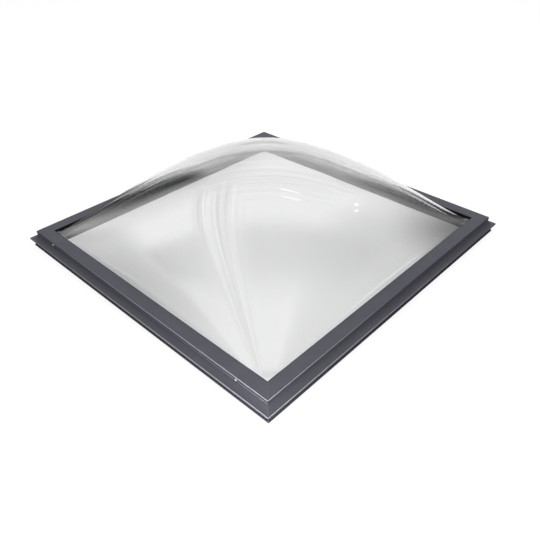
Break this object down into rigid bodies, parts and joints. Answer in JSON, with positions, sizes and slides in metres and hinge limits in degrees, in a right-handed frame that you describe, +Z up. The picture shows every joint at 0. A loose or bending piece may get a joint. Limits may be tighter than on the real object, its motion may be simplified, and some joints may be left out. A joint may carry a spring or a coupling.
{
  "type": "roof skylight",
  "caption": "Fixed double-skin dome roof skylight: clear blown domes clamped in a mitred retaining frame on a coved base frame with drip flange, skirt and kerb slot.",
  "frame": {"origin": "centre of the square footprint, at the bottom of the skirt", "axes": "+Z up out of the roof, X and Y along the sides of the frame; the side with the retaining screws in view faces -Y"},
  "size_m": [1.0372, 1.0372, 0.262],
  "materials": {
    "frame_coat": "satin slate grey powder coat on extruded aluminium",
    "outer_sheet": "clear blown sheet, polished",
    "inner_sheet": "clear blown sheet, polished",
    "gasket_rubber": "matt black rubber",
    "spacer_foam": "dense closed-cell foam",
    "kerb_foam": "soft closed-cell foam",
    "plate_steel": "plain rolled steel",
    "key_aluminium": "plain sawn extrusion",
    "screw_steel": "bright stainless"
  },
  "bodies": {
    "root": {"outer_dome": "outer_sheet", "inner_dome": "inner_sheet", "upper_gasket": "gasket_rubber", "dome_spacer": "spacer_foam", "glazing_tape": "gasket_rubber", "kerb_seal": "kerb_foam", "retaining_rail_front": "frame_coat", "retaining_rail_right": "frame_coat", "retaining_rail_back": "frame_coat", "retaining_rail_left": "frame_coat", "base_rail_front": "frame_coat", "base_rail_right": "frame_coat", "base_rail_back": "frame_coat", "base_rail_left": "frame_coat", "corner_plate_front_right": "plate_steel", "corner_plate_back_right": "plate_steel", "corner_plate_back_left": "plate_steel", "corner_plate_front_left": "plate_steel", "corner_key_front_right": "key_aluminium", "corner_key_back_right": "key_aluminium", "corner_key_back_left": "key_aluminium", "corner_key_front_left": "key_aluminium", "screws_front": "screw_steel", "screws_back": "screw_steel"}
  },
  "joints": []
}
